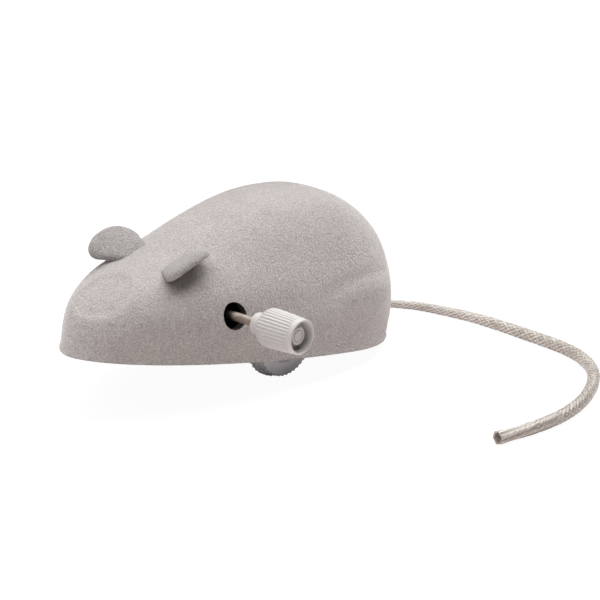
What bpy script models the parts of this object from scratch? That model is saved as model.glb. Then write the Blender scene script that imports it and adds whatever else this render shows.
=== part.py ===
"""Clockwork mouse: a flocked shell on a base plate, with a wind-up motor, two drive wheels and a cord tail.

Everything is drawn in the mouse's own frame, in millimetres: the shell's rim is the plane z = 0, the
nose points to -X, the plane y = 0 is the plane of symmetry, and the winding knob is on the -Y side.
One empty then tilts the whole toy nose-up, so that it stands on its drive wheels and its rear rim.
"""
import math

import bmesh
import bpy
from mathutils import Matrix, Vector

MM = 0.001

# ---- body ----
BODY_HALF_LENGTH = 37.5
BODY_HEIGHT = 26.6
WALL = 1.3
LEVELS_DEG = (0, 12, 25, 40, 55, 72, 90)          # height of a level is BODY_HEIGHT * sin(level)
FRONT_X = (-37.5, -35.6, -29.6, -17.6, -8.5, 1.2, 14.0)
REAR_X = (37.5, 37.2, 36.3, 34.3, 29.8, 22.8, 14.0)
HALF_WIDTH = (19.5, 18.9, 17.2, 14.1, 10.9, 6.8, 0.0)
WIDEST_X = (14.8, 15.6, 16.6, 18.0, 17.6, 16.0, 14.0)
NOSE_POWER = (1.78, 2.1, 2.45, 2.4, 2.25, 2.1, 2.0)
RUMP_POWER = (2.0, 2.1, 2.2, 2.3, 2.35, 2.3, 2.0)
BODY_COLUMNS, BODY_ROWS = 48, 13
SNOUT_SPOT = (-30.4, 0.0, 9.9)                     # centre of the shallow round recess on the snout
SNOUT_SPOT_RADIUS, SNOUT_SPOT_DEPTH, SNOUT_SPOT_TILT_DEG = 5.2, 0.35, 43.0
HAUNCH = (25.0, 10.0, 9.0, 8.0, 0.9)               # x, z, length, height and swell of each haunch

# ---- clockwork, all axes along Y: x, z ----
SHAFT_AXIS = (-13.9, 8.4)
AXLE_AXIS = (3.84, 2.2)
MODULE = 0.5
PRESSURE_DEG = 25.0
ADDENDUM, DEDENDUM, TOOTH_SLACK = 0.375, 0.5, 0.09
MAIN_TEETH, PINION_TEETH, SECOND_TEETH, THIRD_TEETH = 22, 8, 16, 20
SHAFT_RADIUS, AXLE_RADIUS, PIVOT_RADIUS = 0.8, 0.8, 0.4
RUNNING_GAP, FIT_GAP = 0.2, 0.2
CASE_HALF_WIDTH, CASE_WALL, CASE_SPLIT = 6.5, 0.8, 0.15
CASE_NOSE_RADIUS, CASE_TOP, CASE_BOTTOM, CASE_REAR = 7.1, 15.5, -1.4, 10.6

# ---- knob ----
SHAFT_HOLE_RADIUS = 2.35
KNOB_START, KNOB_END = -20.3, -30.65
KNOB_NECK_RADIUS, KNOB_WIDE_RADIUS, KNOB_RIM_RADIUS = 1.95, 3.42, 3.12
KNOB_RIBS, KNOB_RIB_HEIGHT = 30, 0.12
KNOB_RECESS_RADIUS, KNOB_RECESS_DEPTH = 2.6, 2.2
KNOB_HUB_RADIUS, KNOB_HUB_SINK = 1.45, 0.9

# ---- wheels ----
TYRE_RADIUS, FLANGE_RADIUS, DRUM_RADIUS = 7.61, 7.2, 5.6
WHEEL_INNER, WHEEL_STEP, WHEEL_OUTER = 9.81, 11.25, 12.9
WHEEL_TEETH, WHEEL_TOOTH_DEPTH = 44, 0.3

# ---- base plate and screws ----
PLATE_BOTTOM, PLATE_TOP, PLATE_GAP = 0.1, 1.3, 0.4
BASE_SCREWS = ((-30.0, 0.0), (25.0, -10.5), (25.0, 10.5))
BOSS_RADIUS, PILOT_RADIUS, SHANK_RADIUS, HEAD_RADIUS = 2.1, 1.0, 0.7, 1.6

# ---- tail ----
TAIL_RADIUS = 1.15
TAIL_HOLE_RADIUS, TAIL_HEIGHT = 1.5, 3.9

# the toy leans back until the rear rim touches the floor that the wheels stand on
_reach = math.hypot(BODY_HALF_LENGTH - AXLE_AXIS[0], AXLE_AXIS[1])
PITCH = math.asin(TYRE_RADIUS / _reach) - math.atan2(AXLE_AXIS[1], BODY_HALF_LENGTH - AXLE_AXIS[0])

for ob in list(bpy.data.objects):
    bpy.data.objects.remove(ob, do_unlink=True)


def collection(name):
    col = bpy.data.collections.new(name)
    bpy.context.scene.collection.children.link(col)
    return col


PARTS, CUTTERS = collection("clockwork_mouse"), collection("cutters")

ROOT = bpy.data.objects.new("mouse_frame", None)
ROOT.rotation_euler = (0, PITCH, 0)
PARTS.objects.link(ROOT)


def material(name, rgb, rough, metal=0.0):
    m = bpy.data.materials.new(name)
    m.use_nodes = True
    b = m.node_tree.nodes["Principled BSDF"]
    b.inputs["Base Color"].default_value = (*rgb, 1)
    b.inputs["Roughness"].default_value = rough
    b.inputs["Metallic"].default_value = metal
    return m


def add(name, bm, mat=None, at=(0, 0, 0), smooth=True, turn=(0, 0, 0)):
    """A mesh object from a bmesh in millimetres about its own origin, which is put at `at`."""
    bmesh.ops.scale(bm, vec=(MM, MM, MM), verts=bm.verts)
    me = bpy.data.meshes.new(name)
    bm.to_mesh(me)
    bm.free()
    ob = bpy.data.objects.new(name, me)
    ob.location = Vector(at) * MM
    ob.rotation_euler = turn
    ob.parent = ROOT
    if mat is None:
        ob.hide_render = True
        ob.display_type = "WIRE"
        CUTTERS.objects.link(ob)
    else:
        me.materials.append(mat)
        PARTS.objects.link(ob)
    for p in me.polygons:
        p.use_smooth = smooth
    return ob


def combine(ob, other, how):
    mod = ob.modifiers.new(how.lower() + "_" + other.name, "BOOLEAN")
    mod.operation = how
    mod.solver = "EXACT"
    mod.object = other


def soften(ob, width, segments=2, angle=40):
    mod = ob.modifiers.new("edges", "BEVEL")
    mod.width = width * MM
    mod.segments = segments
    mod.limit_method = "ANGLE"
    mod.angle_limit = math.radians(angle)


def rod(bm, radius, y0, y1, sides=24, x=0.0, z=0.0):
    """A cylinder along Y, added to bm."""
    m = Matrix.Translation((x, (y0 + y1) / 2, z)) @ Matrix.Rotation(math.pi / 2, 4, "X")
    bmesh.ops.create_cone(bm, cap_ends=True, segments=sides, radius1=radius, radius2=radius,
                          depth=abs(y1 - y0), matrix=m)


def rod_cutter(name, radius, y0, y1, x=0.0, z=0.0, sides=24, at=(0, 0, 0)):
    bm = bmesh.new()
    rod(bm, radius, y0, y1, sides, x, z)
    return add(name, bm, at=at, smooth=False)


def post_cutter(name, radius, x, y, z0, z1, sides=20):
    """A cylinder along Z."""
    bm = bmesh.new()
    bmesh.ops.create_cone(bm, cap_ends=True, segments=sides, radius1=radius, radius2=radius,
                          depth=z1 - z0, matrix=Matrix.Translation((x, y, (z0 + z1) / 2)))
    return add(name, bm, smooth=False)


def box_cutter(name, low, high):
    bm = bmesh.new()
    size = [b - a for a, b in zip(low, high)]
    mid = [(a + b) / 2 for a, b in zip(low, high)]
    bmesh.ops.create_cube(bm, size=1.0, matrix=Matrix.Translation(mid) @ Matrix.Diagonal((*size, 1)))
    return add(name, bm, smooth=False)


def prism(loops, y0, y1):
    """The bmesh of flat loops of (x, z) points filled and extruded from y0 to y1; inner loops are holes."""
    cu = bpy.data.curves.new("outline", "CURVE")
    cu.dimensions = "2D"
    cu.fill_mode = "BOTH"
    cu.extrude = (y1 - y0) / 2
    for loop in loops:
        sp = cu.splines.new("POLY")
        sp.points.add(len(loop) - 1)
        for p, (x, z) in zip(sp.points, loop):
            p.co = (x, z, 0, 1)
        sp.use_cyclic_u = True
    ob = bpy.data.objects.new("outline", cu)
    PARTS.objects.link(ob)
    me = bpy.data.meshes.new_from_object(ob.evaluated_get(bpy.context.evaluated_depsgraph_get()))
    bpy.data.objects.remove(ob, do_unlink=True)
    bm = bmesh.new()
    bm.from_mesh(me)
    bmesh.ops.remove_doubles(bm, verts=bm.verts, dist=1e-4)
    bmesh.ops.transform(bm, verts=bm.verts, matrix=Matrix.Translation((0, (y0 + y1) / 2, 0))
                        @ Matrix.Rotation(math.pi / 2, 4, "X"))
    bmesh.ops.recalc_face_normals(bm, faces=bm.faces)
    return bm


def circle(radius, sides, x=0.0, z=0.0, start=0.0):
    return [(x + radius * math.cos(start + math.tau * k / sides), z + radius * math.sin(start + math.tau * k / sides))
            for k in range(sides)]


def ring_loft(rings):
    """A closed band of rings round the Y axis. Each ring is (y, radii), all with as many radii."""
    bm = bmesh.new()
    n = len(rings[0][1])
    rows = [[bm.verts.new((r * math.cos(math.tau * k / n), y, r * math.sin(math.tau * k / n)))
             for k, r in enumerate(radii)] for y, radii in rings]
    for a, b in zip(rows, rows[1:] + rows[:1]):
        for k in range(n):
            bm.faces.new((a[k], b[k], b[(k + 1) % n], a[(k + 1) % n]))
    bmesh.ops.recalc_face_normals(bm, faces=bm.faces)
    return bm


# ---------------------------------------------------------------- body shell
def between(values, level):
    """Smooth monotone interpolation of one column of the body table at a level in degrees."""
    x, y = LEVELS_DEG, values
    k = max(i for i in range(len(x) - 1) if x[i] <= level + 1e-9)
    h = [x[i + 1] - x[i] for i in range(len(x) - 1)]
    d = [(y[i + 1] - y[i]) / h[i] for i in range(len(x) - 1)]

    def slope(i):
        if i == 0:
            return d[0]
        if i == len(x) - 1:
            return d[-1]
        if d[i - 1] * d[i] <= 0:
            return 0.0
        w1, w2 = 2 * h[i] + h[i - 1], h[i] + 2 * h[i - 1]
        return (w1 + w2) / (w1 / d[i - 1] + w2 / d[i])

    t = (level - x[k]) / h[k]
    return ((1 + 2 * t) * (1 - t) ** 2 * y[k] + t * (1 - t) ** 2 * h[k] * slope(k)
            + t * t * (3 - 2 * t) * y[k + 1] - t * t * (1 - t) * h[k] * slope(k + 1))


def body_point(level, around, inset=0.0):
    """A point of the outer body surface: level in degrees up the body, `around` in radians from the rump."""
    front, rear = between(FRONT_X, level) + inset, between(REAR_X, level) - inset
    wide = max(between(HALF_WIDTH, level) - inset, 0.0)
    mid = between(WIDEST_X, level)
    c, s = math.cos(around), math.sin(around)
    power = between(NOSE_POWER if c < 0 else RUMP_POWER, level)
    reach = (mid - front) if c < 0 else (rear - mid)
    x = mid + reach * math.copysign(abs(c) ** (2 / power), c)
    y = wide * math.copysign(abs(s) ** (2 / power), s)
    z = BODY_HEIGHT * math.sin(math.radians(level))
    hx, hz, length, height, swell = HAUNCH
    bump = swell * math.exp(-((x - hx) / length) ** 2 - ((z - hz) / height) ** 2) * abs(s) ** 1.5
    return x + 0.35 * bump, y + math.copysign(bump, s), z


def around_steps(n):
    """Angles that space the points of a level evenly enough round the nose and the rump."""
    return [math.tau * (k + 0.5) / n for k in range(n)]


def body_grid(bm, columns, rows):
    levels = [86.0 * k / (rows - 1) for k in range(rows)]
    ring = [[bm.verts.new(body_point(lv, a)) for a in around_steps(columns)] for lv in levels]
    for a, b in zip(ring, ring[1:]):
        for k in range(columns):
            bm.faces.new((a[k], a[(k + 1) % columns], b[(k + 1) % columns], b[k]))
    top = bm.verts.new((FRONT_X[-1], 0, BODY_HEIGHT))
    for k in range(columns):
        bm.faces.new((ring[-1][k], ring[-1][(k + 1) % columns], top))


flock = material("flocked_plastic", (0.47, 0.43, 0.40), 0.95)
bm = bmesh.new()
body_grid(bm, BODY_COLUMNS, BODY_ROWS)
bmesh.ops.recalc_face_normals(bm, faces=bm.faces)
shell = add("body_shell", bm, flock)
mod = shell.modifiers.new("wall", "SOLIDIFY")
mod.thickness = WALL * MM
mod.offset = -1
mod.use_even_offset = True


def roof_height(x, y):
    """Height of the outer body surface over (x, y), found by halving."""
    lo, hi = 0.0, 89.0
    for _ in range(30):
        mid = (lo + hi) / 2
        front, rear, wide = between(FRONT_X, mid), between(REAR_X, mid), between(HALF_WIDTH, mid)
        c = between(WIDEST_X, mid)
        reach = (c - front) if x < c else (rear - c)
        power = between(NOSE_POWER if x < c else RUMP_POWER, mid)
        inside = (abs(x - c) / reach) ** power + (abs(y) / max(wide, 1e-6)) ** power < 1
        lo, hi = (mid, hi) if inside else (lo, mid)
    return BODY_HEIGHT * math.sin(math.radians(lo))


for k, (x, y) in enumerate(BASE_SCREWS):
    top = roof_height(math.copysign(abs(x) + BOSS_RADIUS, x), math.copysign(abs(y) + (BOSS_RADIUS if y else 0), y))
    combine(shell, post_cutter(f"boss_{k + 1}", BOSS_RADIUS, x, y, PLATE_TOP + 0.3, top - WALL * 0.3), "UNION")
for k, (x, y) in enumerate(BASE_SCREWS):
    combine(shell, post_cutter(f"pilot_{k + 1}", PILOT_RADIUS, x, y, PLATE_TOP - 1, 7.4), "DIFFERENCE")
combine(shell, rod_cutter("shaft_hole", SHAFT_HOLE_RADIUS, -24, -10, *SHAFT_AXIS, sides=32), "DIFFERENCE")

bm = bmesh.new()
bmesh.ops.create_cone(bm, cap_ends=True, segments=20, radius1=TAIL_HOLE_RADIUS, radius2=TAIL_HOLE_RADIUS, depth=8,
                      matrix=Matrix.Translation((37.5, 0, TAIL_HEIGHT)) @ Matrix.Rotation(math.pi / 2, 4, "Y"))
combine(shell, add("tail_hole", bm, smooth=False), "DIFFERENCE")

tilt = math.radians(SNOUT_SPOT_TILT_DEG)
normal = Vector((-math.sin(tilt), 0, math.cos(tilt)))
bm = bmesh.new()
bmesh.ops.create_cone(bm, cap_ends=True, segments=40, radius1=SNOUT_SPOT_RADIUS, radius2=SNOUT_SPOT_RADIUS, depth=6,
                      matrix=Matrix.Translation(Vector(SNOUT_SPOT) + normal * (3 - SNOUT_SPOT_DEPTH))
                      @ Matrix.Rotation(-tilt, 4, "Y"))
combine(shell, add("snout_spot", bm, smooth=False), "DIFFERENCE")

# ---------------------------------------------------------------- ears
EAR_ROOT = (-19.2, 5.6, 15.7)
EAR_ALONG = Vector((0.922, 0.0, 0.388)).normalized()
EAR_THICK = 1.3
EAR_OUTLINE = ((-2.6, -2.4), (0.2, -2.4), (3.0, -2.4), (3.1, -0.9), (3.3, 0.4), (3.9, 1.4), (4.4, 2.8), (4.2, 4.3),
               (2.9, 5.9), (1.0, 6.8), (-1.0, 7.0), (-3.0, 6.7), (-4.5, 6.0), (-5.3, 4.8), (-4.7, 3.3), (-3.5, 2.0),
               (-2.9, 0.7), (-2.7, -0.9))
EAR_CENTRE = (-1.0, 2.6)


def ear(side, name):
    """A thin cupped flap in a plane that rises outward; side is -1 on the knob's side and +1 on the other."""
    out = Vector((-0.20, 0.86 * side, 0.46)).normalized()
    face = EAR_ALONG.cross(out).normalized() * -side
    root = Vector((EAR_ROOT[0], EAR_ROOT[1] * side, EAR_ROOT[2]))
    bm = bmesh.new()

    def place(s, q):
        cup = 0.30 * ((s + 1.0) / 5) ** 2 * min(max(q / 3, 0), 1)
        return bm.verts.new(EAR_ALONG * s + out * q + face * cup)

    rows = [[place(EAR_CENTRE[0] + f * (s - EAR_CENTRE[0]), EAR_CENTRE[1] + f * (q - EAR_CENTRE[1]))
             for s, q in EAR_OUTLINE] for f in (1.0, 0.7, 0.35)]
    n = len(EAR_OUTLINE)
    for a, b in zip(rows, rows[1:]):
        for k in range(n):
            bm.faces.new((a[k], a[(k + 1) % n], b[(k + 1) % n], b[k]))
    centre = place(*EAR_CENTRE)
    for k in range(n):
        bm.faces.new((rows[-1][k], rows[-1][(k + 1) % n], centre))
    bmesh.ops.recalc_face_normals(bm, faces=bm.faces)
    ob = add(name, bm, ear_cloth, at=root)
    mod = ob.modifiers.new("thickness", "SOLIDIFY")
    mod.thickness = EAR_THICK * MM
    mod.offset = 0
    soften(ob, 0.25)
    bm = bmesh.new()
    frame = Matrix((EAR_ALONG, out, EAR_ALONG.cross(out))).transposed().to_4x4()
    slot = (7.4, 7.0, EAR_THICK + 0.6)
    bmesh.ops.create_cube(bm, size=1.0, matrix=Matrix.Translation(root) @ frame
                          @ Matrix.Translation((0, -1.5, 0)) @ Matrix.Diagonal((*slot, 1)))
    combine(shell, add("slot_" + name, bm, smooth=False), "DIFFERENCE")
    return ob


ear_cloth = material("ear_flock", (0.42, 0.38, 0.36), 0.95)
ear(-1, "ear_left")
ear(1, "ear_right")

# ---------------------------------------------------------------- base plate
plastic_grey = material("base_plastic", (0.16, 0.16, 0.17), 0.5)


def inset_outline(level, inset, n):
    """The body's outline at a level, moved inward by `inset` along its own normals."""
    pts = [Vector(body_point(level, math.tau * k / n)[:2]) for k in range(n)]
    out = []
    for k in range(n):
        t = (pts[(k + 1) % n] - pts[k - 1]).normalized()
        out.append(tuple(pts[k] - Vector((t.y, -t.x)) * inset))
    return out


def slab(name, loops, z0, z1, mat):
    """Flat loops of (x, y) filled and extruded from z0 to z1."""
    bm = prism([[(x, y) for x, y in loop] for loop in loops], 0, z1 - z0)
    bmesh.ops.transform(bm, verts=bm.verts, matrix=Matrix.Rotation(-math.pi / 2, 4, "X"))
    bmesh.ops.recalc_face_normals(bm, faces=bm.faces)
    low = min(v.co.z for v in bm.verts)
    bmesh.ops.translate(bm, verts=bm.verts, vec=(0, 0, z0 - low))
    return add(name, bm, mat, smooth=False)


def rect(x0, x1, y0, y1):
    return [(x0, y0), (x1, y0), (x1, y1), (x0, y1)]


MOTOR_SCREWS = ((-23.4, -2.6), (13.0, 2.6))
slot_x = (AXLE_AXIS[0] - TYRE_RADIUS - 0.7, AXLE_AXIS[0] + TYRE_RADIUS + 0.7)
x0, x1 = SHAFT_AXIS[0] - CASE_NOSE_RADIUS - 0.35, CASE_REAR + 0.35
y0, y1 = CASE_HALF_WIDTH + 0.35, WHEEL_OUTER + 0.6
# one opening for the motor case, widened on both sides for the wheels
opening = [(x0, -y0), (slot_x[0], -y0), (slot_x[0], -y1), (slot_x[1], -y1), (slot_x[1], y1), (slot_x[0], y1),
           (slot_x[0], y0), (x0, y0)]
loops = [inset_outline(3.0, WALL + PLATE_GAP, 48), opening]
loops += [circle(PILOT_RADIUS, 16, x, y) for x, y in BASE_SCREWS + MOTOR_SCREWS]
slab("base_plate", loops, PLATE_BOTTOM, PLATE_TOP, plastic_grey)

steel = material("steel", (0.55, 0.54, 0.52), 0.3, 1.0)


def screw(name, x, y, tip, seat, up):
    """A pan-head screw along Z: shank from tip to seat, head on the far side of seat (up = +1 or -1)."""
    lo, hi = sorted((tip, seat))
    bm = bmesh.new()
    bmesh.ops.create_cone(bm, cap_ends=True, segments=14, radius1=SHANK_RADIUS, radius2=SHANK_RADIUS,
                          depth=hi - lo + 0.2, matrix=Matrix.Translation((0, 0, (lo + hi) / 2 + 0.1 * up)))
    ob = add(name, bm, steel, at=(x, y, 0))
    r1, r2 = (HEAD_RADIUS, HEAD_RADIUS * 0.8) if up > 0 else (HEAD_RADIUS * 0.8, HEAD_RADIUS)
    bm = bmesh.new()
    bmesh.ops.create_cone(bm, cap_ends=True, segments=20, radius1=r1, radius2=r2, depth=0.9,
                          matrix=Matrix.Translation((0, 0, seat + 0.45 * up)))
    head = add("head_" + name, bm, at=(x, y, 0), smooth=False)
    combine(ob, head, "UNION")
    slot_z = seat + 0.9 * up
    combine(ob, box_cutter("drive_" + name, (x - 1.0, y - 0.2, slot_z - 0.35), (x + 1.0, y + 0.2, slot_z + 0.35)),
            "DIFFERENCE")
    return ob


for k, (x, y) in enumerate(BASE_SCREWS):
    screw(f"base_screw_{k + 1}", x, y, 6.4, PLATE_BOTTOM - 0.3, -1)
for k, (x, y) in enumerate(MOTOR_SCREWS):
    screw(f"motor_screw_{k + 1}", x, y, -0.1, 3.3, 1)

# ---------------------------------------------------------------- gear train
def gear_loop(teeth, phase):
    """Involute outline with one tooth centred at the angle `phase`, measured from +X toward +Z."""
    r = MODULE * teeth / 2
    alpha = math.radians(PRESSURE_DEG)
    base, tip, root = r * math.cos(alpha), r + ADDENDUM, r - DEDENDUM

    def half(rho):
        a = math.acos(min(base / rho, 1.0))
        return (math.pi * MODULE / 2 - TOOTH_SLACK) / (2 * r) + (math.tan(alpha) - alpha) - (math.tan(a) - a)

    start = max(base, root)
    flank = [start + (tip - start) * t for t in (0, 0.4, 0.75, 1.0)]
    side = ([(root, half(start))] if root < start - 1e-6 else []) + [(rho, half(rho)) for rho in flank]
    out = []
    for k in range(teeth):
        mid = phase + math.tau * k / teeth
        out += [(rho * math.cos(mid - h), rho * math.sin(mid - h)) for rho, h in side]
        out += [(rho * math.cos(mid + h), rho * math.sin(mid + h)) for rho, h in reversed(side)]
    return out


def mate(teeth, toward):
    """Phase that puts a gap, not a tooth, at the angle `toward`."""
    return toward + math.pi / teeth


def third_corner(a, b, ra, rb, side):
    """The point at distance ra from a and rb from b, to the left (side = +1) of the line from a to b."""
    dx, dz = b[0] - a[0], b[1] - a[1]
    d = math.hypot(dx, dz)
    along = (ra * ra - rb * rb + d * d) / (2 * d)
    off = math.sqrt(max(ra * ra - along * along, 0)) * side
    return a[0] + (along * dx - off * dz) / d, a[1] + (along * dz + off * dx) / d


def heading(a, b):
    return math.atan2(b[1] - a[1], b[0] - a[0])


R_MAIN, R_PINION = MODULE * MAIN_TEETH / 2, MODULE * PINION_TEETH / 2
R_SECOND, R_THIRD = MODULE * SECOND_TEETH / 2, MODULE * THIRD_TEETH / 2
FIRST_HEADING = math.radians(10)
SECOND_AXIS = (SHAFT_AXIS[0] + (R_MAIN + R_PINION) * math.cos(FIRST_HEADING),
               SHAFT_AXIS[1] + (R_MAIN + R_PINION) * math.sin(FIRST_HEADING))
THIRD_AXIS = third_corner(SECOND_AXIS, AXLE_AXIS, R_SECOND + R_PINION, R_THIRD + R_PINION, 1)


def at_axis(axis):
    return axis[0], 0, axis[1]


nylon = material("nylon_gear", (0.80, 0.78, 0.70), 0.4)
brass = material("brass", (0.62, 0.46, 0.20), 0.3, 1.0)

main_phase = FIRST_HEADING
bm = prism([gear_loop(MAIN_TEETH, main_phase), circle(SHAFT_RADIUS + FIT_GAP, 24)], -1.1, 0.1)
add("main_gear", bm, brass, at=at_axis(SHAFT_AXIS), smooth=False)


def compound(name, axis, pinion_phase, gear_phase, gear_teeth, pinion_y, gear_y):
    """A wheel, its pinion and both pivots moulded as one."""
    ob = add(name, prism([gear_loop(gear_teeth, gear_phase)], *gear_y), nylon, at=at_axis(axis), smooth=False)
    bm = prism([gear_loop(PINION_TEETH, pinion_phase)], pinion_y[0], gear_y[0] + 0.3)
    combine(ob, add("pinion_" + name, bm, at=at_axis(axis), smooth=False), "UNION")
    end = CASE_HALF_WIDTH - 0.15
    combine(ob, rod_cutter("pivot_" + name, PIVOT_RADIUS, -end, end, sides=16, at=at_axis(axis)), "UNION")
    return ob


second_gear_phase = heading(SECOND_AXIS, THIRD_AXIS)
compound("second_gear", SECOND_AXIS, mate(PINION_TEETH, heading(SECOND_AXIS, SHAFT_AXIS)), second_gear_phase,
         SECOND_TEETH, (-1.3, 0.3), (0.7, 1.9))
third_gear_phase = heading(THIRD_AXIS, AXLE_AXIS)
compound("third_gear", THIRD_AXIS, mate(PINION_TEETH, heading(THIRD_AXIS, SECOND_AXIS)), third_gear_phase,
         THIRD_TEETH, (0.5, 2.1), (2.5, 3.7))
bm = prism([gear_loop(PINION_TEETH, mate(PINION_TEETH, heading(AXLE_AXIS, THIRD_AXIS))),
            circle(AXLE_RADIUS + 0.15, 20)], 2.3, 3.9)
add("axle_pinion", bm, brass, at=at_axis(AXLE_AXIS), smooth=False)

# ---------------------------------------------------------------- shaft, mainspring, knob
bm = bmesh.new()
rod(bm, SHAFT_RADIUS, CASE_HALF_WIDTH - 0.1, KNOB_END + KNOB_HUB_SINK + 0.05, 24)
soften(add("winding_shaft", bm, steel, at=at_axis(SHAFT_AXIS)), 0.12, 1)

SPRING_TURNS, SPRING_INNER, SPRING_OUTER, SPRING_THICK = 5.25, 1.15, 5.1, 0.22
steps = int(SPRING_TURNS * 18)
inner, outer = [], []
for k in range(steps + 1):
    a = math.tau * SPRING_TURNS * k / steps
    r = SPRING_INNER + (SPRING_OUTER - SPRING_INNER) * k / steps
    inner.append(((r - SPRING_THICK / 2) * math.cos(a), (r - SPRING_THICK / 2) * math.sin(a)))
    outer.append(((r + SPRING_THICK / 2) * math.cos(a), (r + SPRING_THICK / 2) * math.sin(a)))
add("mainspring", prism([inner + outer[::-1]], -5.2, -1.6), steel, at=at_axis(SHAFT_AXIS), smooth=False)


def ribbed(radius, height):
    n = KNOB_RIBS * 2
    return [radius - (height if k % 2 else 0) for k in range(n)]


white = material("knob_plastic", (0.80, 0.78, 0.73), 0.45)
W, R, E, H = KNOB_WIDE_RADIUS, KNOB_RIM_RADIUS, KNOB_END, KNOB_END + KNOB_HUB_SINK
bore = SHAFT_RADIUS + FIT_GAP
rings = [(KNOB_START, ribbed(bore, 0)), (KNOB_START, ribbed(KNOB_NECK_RADIUS - 0.3, 0)),
         (KNOB_START - 0.3, ribbed(KNOB_NECK_RADIUS, 0)), (KNOB_START - 1.9, ribbed(KNOB_NECK_RADIUS, 0)),
         (KNOB_START - 2.5, ribbed(W - 0.35, 0)), (KNOB_START - 3.2, ribbed(W, KNOB_RIB_HEIGHT)),
         (E + 1.0, ribbed(R + 0.05, KNOB_RIB_HEIGHT)), (E + 0.85, ribbed(R, 0)), (E + 0.2, ribbed(R - 0.03, 0)),
         (E, ribbed(R - 0.2, 0)), (E, ribbed(KNOB_RECESS_RADIUS + 0.05, 0)),
         (E + 0.1, ribbed(KNOB_RECESS_RADIUS - 0.03, 0)),
         (E + KNOB_RECESS_DEPTH, ribbed(KNOB_RECESS_RADIUS - 0.15, 0)),
         (E + KNOB_RECESS_DEPTH, ribbed(KNOB_HUB_RADIUS + 0.1, 0)), (H + 0.1, ribbed(KNOB_HUB_RADIUS, 0)),
         (H, ribbed(KNOB_HUB_RADIUS - 0.1, 0)), (H, ribbed(bore, 0))]
add("winding_knob", ring_loft(rings), white, at=at_axis(SHAFT_AXIS), smooth=False)

# ---------------------------------------------------------------- axle and wheels
bm = bmesh.new()
rod(bm, AXLE_RADIUS, -WHEEL_OUTER + 0.2, WHEEL_OUTER - 0.2, 24)
soften(add("drive_axle", bm, steel, at=at_axis(AXLE_AXIS)), 0.12, 1)

wheel_grey = material("wheel_plastic", (0.22, 0.22, 0.225), 0.55)
rubber = material("tyre_rubber", (0.20, 0.20, 0.205), 0.8)
COUNT = WHEEL_TEETH * 2


def serrated(radius):
    return [radius - (WHEEL_TOOTH_DEPTH if k % 2 else 0) for k in range(COUNT)]


def plain(radius):
    return [radius] * COUNT


for side, tag in ((-1, "left"), (1, "right")):
    outer, step, inner = side * WHEEL_OUTER, side * (WHEEL_STEP + 0.1), side * WHEEL_INNER
    bore = AXLE_RADIUS + FIT_GAP
    rings = [(outer, plain(bore)), (outer, plain(2.0)), (outer - side * 0.5, plain(2.6)),
             (outer - side * 0.5, plain(4.2)), (outer, plain(4.7)), (outer, serrated(FLANGE_RADIUS)),
             (step, serrated(FLANGE_RADIUS)), (step, plain(DRUM_RADIUS)), (inner, plain(DRUM_RADIUS)),
             (inner, plain(1.9)), (side * (CASE_HALF_WIDTH + 0.5), plain(1.6)),
             (side * (CASE_HALF_WIDTH + 0.5), plain(bore))]
    add(f"wheel_{tag}", ring_loft(rings), wheel_grey, at=at_axis(AXLE_AXIS), smooth=False)
    a, b = side * (WHEEL_STEP - 0.1), inner
    rings = [(a, plain(DRUM_RADIUS + 0.2)), (a, serrated(TYRE_RADIUS)), (b, serrated(TYRE_RADIUS)),
             (b, plain(DRUM_RADIUS + 0.2))]
    add(f"tyre_{tag}", ring_loft(rings), rubber, at=at_axis(AXLE_AXIS), smooth=False)

# ---------------------------------------------------------------- motor case
case_plastic = material("case_plastic", (0.035, 0.035, 0.038), 0.45)


def case_loop(inset):
    """The case's outline seen along Y: round over the mainspring, flat on top, square behind."""
    sx, sz = SHAFT_AXIS
    r = CASE_NOSE_RADIUS - inset
    pts = [(sx + r * math.cos(a), sz + r * math.sin(a))
           for a in (math.radians(180 - 90 * k / 8) for k in range(9))]
    top, low, rear, c = CASE_TOP - inset, CASE_BOTTOM + inset, CASE_REAR - inset, 2.0
    return pts + [(rear - c, top), (rear, top - c), (rear, low), (sx - r, low)]


CASE_SCREWS = ((7.8, 12.2), (-7.2, 3.4))
BEARINGS = ((SHAFT_AXIS, SHAFT_RADIUS), (SECOND_AXIS, PIVOT_RADIUS), (THIRD_AXIS, PIVOT_RADIUS),
            (AXLE_AXIS, AXLE_RADIUS))


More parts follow.
